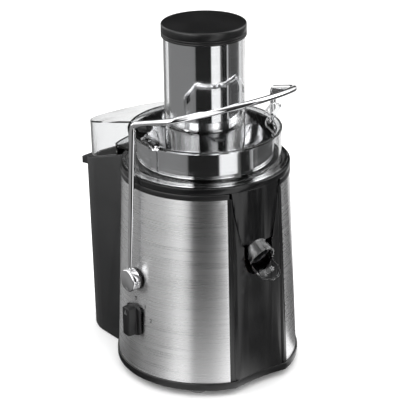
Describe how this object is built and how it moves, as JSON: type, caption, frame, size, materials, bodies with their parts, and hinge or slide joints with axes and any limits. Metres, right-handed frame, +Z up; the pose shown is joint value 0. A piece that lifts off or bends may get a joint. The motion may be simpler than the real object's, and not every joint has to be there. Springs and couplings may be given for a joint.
{
  "type": "centrifugal juicer",
  "caption": "Tabletop centrifugal juicer: brushed steel drum, lift-out bowl and filter basket, clear lid with wide feed tube, pulp bin and swinging chrome locking arm.",
  "frame": {"origin": "on the drum's axis at table level, under the middle of the steel drum", "axes": "+Z up along the drum and motor axis, +X towards the juice spout, -X towards the pulp bin, -Y towards the control knob"},
  "size_m": [0.3269, 0.2355, 0.419],
  "materials": {
    "black_plastic": "satin moulded",
    "gloss_black": "gloss moulded",
    "knob_plastic": "satin moulded",
    "bin_plastic": "fine matte texture",
    "grey_rubber": "matte",
    "brushed_steel": "brushed around the drum",
    "polished_steel": "polished",
    "zinc_steel": "zinc plated",
    "bearing_steel": "ground",
    "cast_alloy": "as cast",
    "lamination_iron": "varnished laminations",
    "copper_wire": "enamelled copper",
    "carbon": "pressed carbon",
    "white_plastic": "moulded",
    "chrome": "mirror chrome",
    "clear_plastic": "clear moulded"
  },
  "bodies": {
    "root": {"base_plate": "black_plastic", "rubber_feet": "grey_rubber", "base_screws": "zinc_steel", "steel_housing": "brushed_steel", "front_panel": "black_plastic", "housing_collar": "black_plastic", "motor_deck": "black_plastic", "shaft_seal": "grey_rubber", "upper_bracket": "cast_alloy", "lower_bracket": "cast_alloy", "bracket_posts": "zinc_steel", "rubber_mounts": "grey_rubber", "post_nuts": "zinc_steel", "stator_core": "lamination_iron", "field_coils": "copper_wire", "brush_holders": "black_plastic", "carbon_brushes": "carbon", "brush_springs": "zinc_steel", "upper_bearing": "bearing_steel", "lower_bearing": "bearing_steel", "rotary_switch": "black_plastic", "safety_switch": "black_plastic", "terminal_block": "white_plastic", "cord_inlet": "black_plastic", "pivot_brackets": "zinc_steel", "pivot_bushes": "bearing_steel", "pivot_spacers": "black_plastic"},
    "rotor": {"motor_shaft": "bearing_steel", "armature_core": "lamination_iron", "commutator": "copper_wire", "cooling_fan": "black_plastic", "drive_coupling": "black_plastic"},
    "knob": {"speed_knob": "knob_plastic"},
    "plunger": {"switch_plunger": "grey_rubber"},
    "arm": {"pivot_pins": "bearing_steel", "switch_cam": "black_plastic", "pivot_cap_front": "chrome", "pivot_cap_rear": "chrome", "cap_screws": "zinc_steel", "locking_arm": "chrome", "arm_pads": "black_plastic"},
    "bowl": {"juice_bowl": "gloss_black", "bowl_seal": "grey_rubber", "juice_spout": "clear_plastic"},
    "basket": {"filter_basket": "polished_steel", "grater_disc": "polished_steel", "basket_hub": "black_plastic"},
    "lid": {"lid_cover": "clear_plastic"},
    "pusher": {"pusher_cap": "black_plastic", "pusher_sleeve": "polished_steel", "pusher_base": "black_plastic"},
    "bin": {"pulp_bin": "bin_plastic"}
  },
  "joints": [
    {"name": "arm_swing", "type": "hinge", "parent": "root", "child": "arm", "pos_m": [0, 0, 0.132], "axis": [0, 1, 0], "range_deg": [0, 100]},
    {"name": "lid_lift", "type": "slide", "parent": "root", "child": "lid", "axis": [0, 0, 1], "range_m": [0, 0.115]},
    {"name": "bowl_lift", "type": "slide", "parent": "root", "child": "bowl", "axis": [0, 0, 1], "range_m": [0, 0.065]},
    {"name": "bin_slide", "type": "slide", "parent": "root", "child": "bin", "axis": [-1, 0, 0], "range_m": [0, 0.125]},
    {"name": "plunger_travel", "type": "slide", "parent": "root", "child": "plunger", "axis": [0, 0, -1], "range_m": [0, 0.002]},
    {"name": "pusher_slide", "type": "slide", "parent": "lid", "child": "pusher", "axis": [0, 0, 1], "range_m": [0, 0.19]},
    {"name": "motor_spin", "type": "hinge", "parent": "root", "child": "rotor", "pos_m": [0, 0, 0.1], "axis": [0, 0, 1], "continuous": true},
    {"name": "basket_spin", "type": "hinge", "parent": "bowl", "child": "basket", "pos_m": [0, 0, 0.2], "axis": [0, 0, 1], "continuous": true},
    {"name": "knob_turn", "type": "hinge", "parent": "root", "child": "knob", "pos_m": [0, -0.1, 0.081], "axis": [0, 1, 0], "range_deg": [0, 80]}
  ],
  "couplings": [
    {"joint": "lid_lift", "follows": "arm_swing", "m_per_rad": 0.063},
    {"joint": "bowl_lift", "follows": "arm_swing", "m_per_rad": 0.0355},
    {"joint": "bin_slide", "follows": "arm_swing", "m_per_rad": 0.069},
    {"joint": "plunger_travel", "follows": "arm_swing", "m_per_rad": 0.0011},
    {"joint": "basket_spin", "follows": "motor_spin", "ratio": 1}
  ]
}
